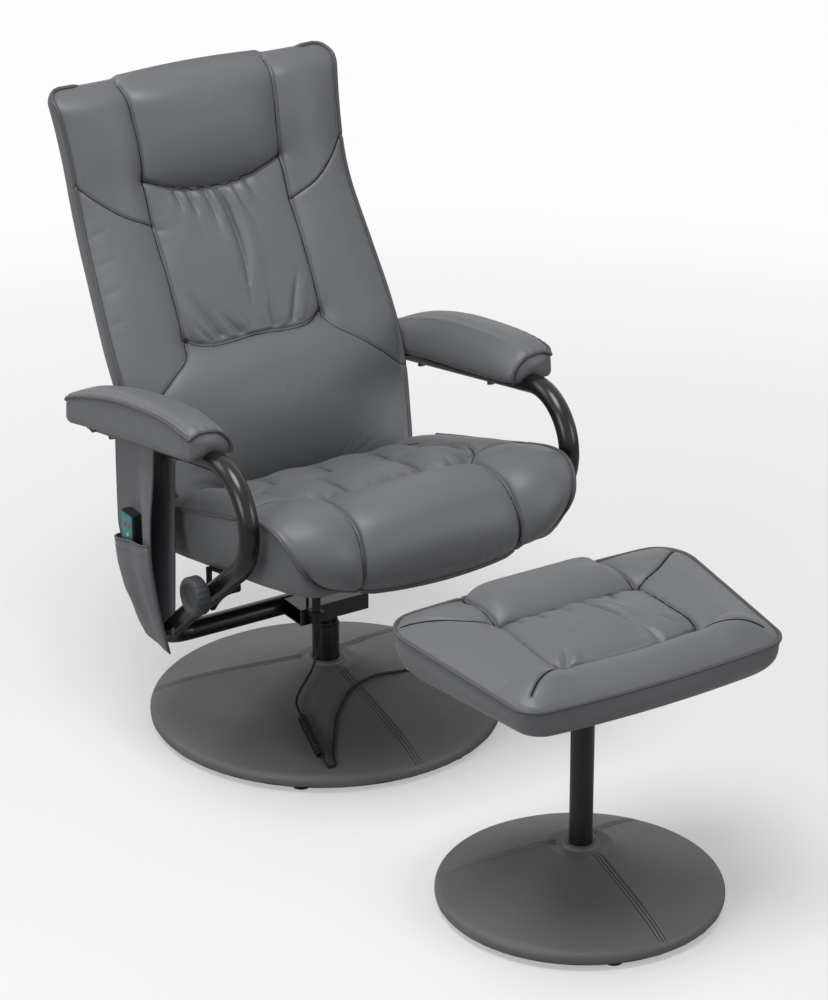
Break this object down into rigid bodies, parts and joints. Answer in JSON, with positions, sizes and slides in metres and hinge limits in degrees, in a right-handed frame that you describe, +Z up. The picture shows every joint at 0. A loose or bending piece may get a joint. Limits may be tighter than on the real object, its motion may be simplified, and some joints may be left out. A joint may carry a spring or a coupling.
{
  "type": "massage recliner with footstool",
  "caption": "Swivel recliner with padded back, seat and armrests on a bent tube frame and round base, with a lead, side pocket, handset and matching footstool.",
  "frame": {"origin": "on the floor, in the middle of the whole set", "axes": "+Z up, -Y the way the chair faces, +X the sitter's left hand side"},
  "size_m": [0.6696, 1.3581, 0.9865],
  "materials": {
    "leatherette": "grained grey synthetic leather",
    "pocket_leatherette": "smooth grey synthetic leather",
    "black_tube": "gloss black paint",
    "sheet_steel": "black paint",
    "zinc": "zinc plate",
    "plywood": "plain plywood",
    "grey_plastic": "satin",
    "black_plastic": "satin",
    "lead_jacket": "soft black jacket",
    "teal_face": "satin",
    "red_button": "satin",
    "yellow_button": "satin"
  },
  "bodies": {
    "base": {"chair_base_dish": "sheet_steel", "chair_base_cover": "leatherette", "chair_base_plate": "sheet_steel", "chair_base_feet": "black_plastic", "chair_column": "black_tube", "column_bush": "black_plastic", "power_lead_drop": "lead_jacket", "power_lead_curl": "lead_jacket", "power_lead_run": "lead_jacket", "power_lead_coil": "lead_jacket", "power_lead_end": "lead_jacket", "coil_tie": "black_plastic", "power_adapter": "black_plastic"},
    "frame": {"swivel_post": "black_tube", "post_retainer": "sheet_steel", "frame_box": "black_tube", "left_arm_tube": "black_tube", "right_arm_tube": "black_tube", "tube_end_caps": "black_plastic", "left_arm_board": "plywood", "right_arm_board": "plywood", "arm_screws": "zinc", "left_arm_pad": "leatherette", "right_arm_pad": "leatherette", "clamp_bolt": "zinc", "guide_pin": "zinc", "pocket_hanger": "pocket_leatherette", "pocket_pouch": "pocket_leatherette", "plug_connector": "black_plastic", "socket_connector": "black_plastic", "lead_clip": "black_plastic", "lead_tail": "lead_jacket"},
    "knob": {"tension_knob": "grey_plastic"},
    "back": {"back_board": "plywood", "back_cushion": "leatherette", "pivot_bolts": "zinc", "back_motors": "black_plastic", "back_cover": "leatherette", "back_hinge_plates": "black_tube", "hinge_pins": "zinc"},
    "seat": {"seat_board": "plywood", "seat_cushion": "leatherette", "seat_motors": "black_plastic", "seat_hinge_lugs": "black_tube", "left_guide_rail": "black_tube", "right_guide_rail": "black_tube", "seat_wire_loop": "lead_jacket"},
    "footstool": {"stool_base_dish": "sheet_steel", "stool_base_cover": "leatherette", "stool_base_plate": "sheet_steel", "stool_base_feet": "black_plastic", "stool_column": "black_tube"},
    "stool_top": {"stool_spigot": "sheet_steel", "stool_board": "plywood", "stool_cushion": "leatherette"},
    "handset": {"handset_body": "black_plastic", "handset_face": "teal_face"},
    "red_rear": {"button_red_rear": "red_button"},
    "red_front": {"button_red_front": "red_button"},
    "yellow": {"button_yellow": "yellow_button"}
  },
  "joints": [
    {"name": "swivel", "type": "hinge", "parent": "base", "child": "frame", "pos_m": [0, 0.25185, 0.158], "axis": [0, 0, 1], "continuous": true, "deforming": ["power_lead_drop"]},
    {"name": "knob_turn", "type": "hinge", "parent": "frame", "child": "knob", "pos_m": [-0.32, 0.09385, 0.35086], "axis": [-1, 0, 0], "continuous": true},
    {"name": "recline", "type": "hinge", "parent": "frame", "child": "back", "pos_m": [0, 0.44385, 0.50237], "axis": [-1, 0, 0], "range_deg": [0, 28]},
    {"name": "seat_follow", "type": "hinge", "parent": "back", "child": "seat", "pos_m": [0, 0.36685, 0.345], "axis": [-1, 0, 0], "range_deg": [-28, 0]},
    {"name": "stool_move", "type": "slide", "parent": "base", "child": "footstool", "axis": [0, -1, 0], "range_m": [0, 0.25]},
    {"name": "stool_swivel", "type": "hinge", "parent": "footstool", "child": "stool_top", "pos_m": [0, -0.46515, 0.384], "axis": [0, 0, 1], "continuous": true},
    {"name": "handset_lift", "type": "slide", "parent": "frame", "child": "handset", "axis": [0, 0, 1], "range_m": [0, 0.1]},
    {"name": "red_rear_press", "type": "slide", "parent": "handset", "child": "red_rear", "axis": [1, 0, 0], "range_m": [0, 0.001], "stiffness_N_per_m": 400},
    {"name": "red_front_press", "type": "slide", "parent": "handset", "child": "red_front", "axis": [1, 0, 0], "range_m": [0, 0.001], "stiffness_N_per_m": 400},
    {"name": "yellow_press", "type": "slide", "parent": "handset", "child": "yellow", "axis": [1, 0, 0], "range_m": [0, 0.001], "stiffness_N_per_m": 400}
  ],
  "couplings": [
    {"joint": "seat_follow", "follows": "recline", "ratio": -1}
  ]
}
